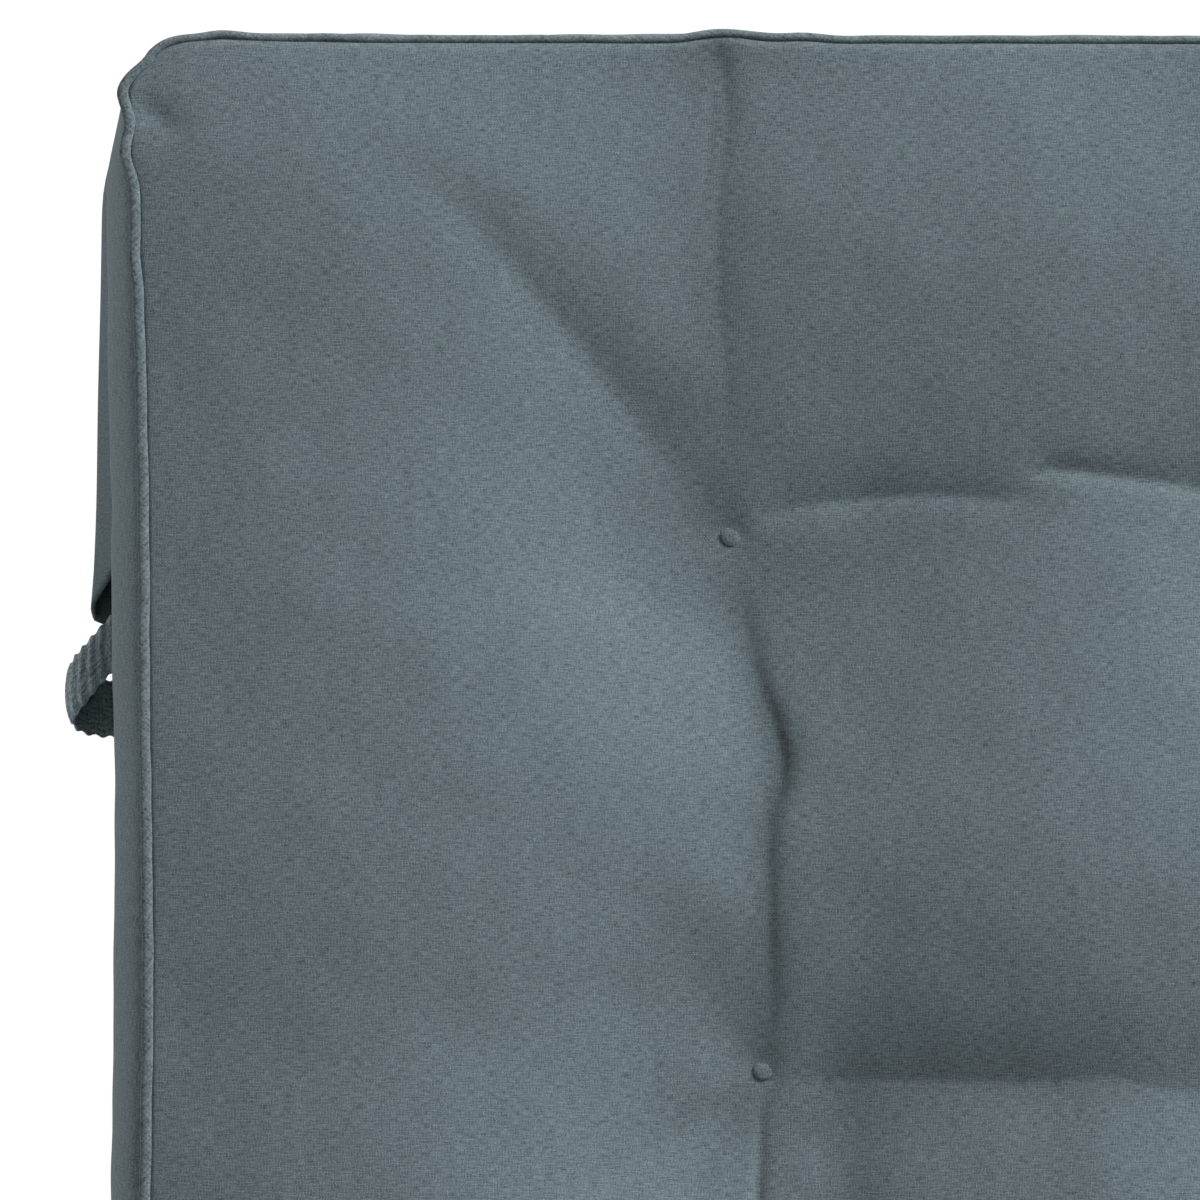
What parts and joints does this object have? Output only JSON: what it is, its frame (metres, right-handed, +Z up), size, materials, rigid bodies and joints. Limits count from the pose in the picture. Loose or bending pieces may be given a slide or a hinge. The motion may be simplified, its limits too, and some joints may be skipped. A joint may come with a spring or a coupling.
{
  "type": "sun lounger cushion",
  "caption": "Button-tufted pad for a sun lounger with a piped face, a hood at its head end and a ruched elastic strap; lies face up.",
  "frame": {"origin": "centre of the bounding box's bottom face, on the surface that the cushion's back lies on", "axes": "+X across the cushion, +Y along it to the head end with the hood, +Z up out of the tufted face"},
  "size_m": [0.6346, 1.9116, 0.088],
  "materials": {
    "pad_cloth": "heathered grey-blue plain weave, matt",
    "piping_cloth": "the same weave cut on the bias over a cord, matt",
    "button_cloth": "the same weave stretched over a button, matt",
    "hood_cloth": "plain thin grey-blue cloth, matt",
    "strap_cloth": "ruched cloth over elastic, slightly fleecy, matt"
  },
  "bodies": {
    "root": {"cushion": "pad_cloth", "face_piping": "piping_cloth", "hood": "hood_cloth", "strap": "strap_cloth", "button_01_l": "button_cloth", "button_01_r": "button_cloth", "button_02_l": "button_cloth", "button_02_r": "button_cloth", "button_03_l": "button_cloth", "button_03_r": "button_cloth", "button_04_l": "button_cloth", "button_04_r": "button_cloth", "button_05_l": "button_cloth", "button_05_r": "button_cloth", "button_06_l": "button_cloth", "button_06_r": "button_cloth", "button_07_l": "button_cloth", "button_07_r": "button_cloth", "button_08_l": "button_cloth", "button_08_r": "button_cloth", "button_09_l": "button_cloth", "button_09_r": "button_cloth", "button_10_l": "button_cloth", "button_10_r": "button_cloth"}
  },
  "joints": []
}
